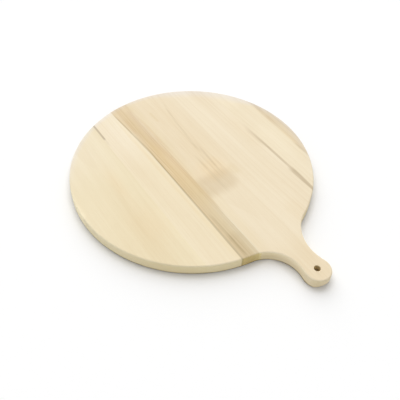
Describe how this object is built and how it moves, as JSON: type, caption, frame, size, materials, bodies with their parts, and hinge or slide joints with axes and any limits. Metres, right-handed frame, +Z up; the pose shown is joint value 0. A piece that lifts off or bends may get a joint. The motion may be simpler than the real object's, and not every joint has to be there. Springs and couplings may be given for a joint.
{
  "type": "polenta board",
  "caption": "Round wooden board for polenta, glued up from edge-jointed staves, with a short waisted handle that ends in a rounded head with a hanging hole.",
  "frame": {"origin": "centre of the round board on its underside", "axes": "+X from the board's centre along the handle, +Y to the back edge, +Z up through the thickness"},
  "size_m": [0.4885, 0.4, 0.019],
  "materials": {
    "pale_wood": "fine sanded, bare",
    "cream_wood": "fine sanded, bare",
    "heartwood": "fine sanded, bare",
    "honey_wood": "fine sanded, bare"
  },
  "bodies": {
    "root": {"front_outer_stave": "pale_wood", "front_inner_stave": "cream_wood", "heartwood_stave": "heartwood", "handle_stave": "pale_wood", "back_inner_stave": "cream_wood", "back_outer_stave": "honey_wood"}
  },
  "joints": []
}
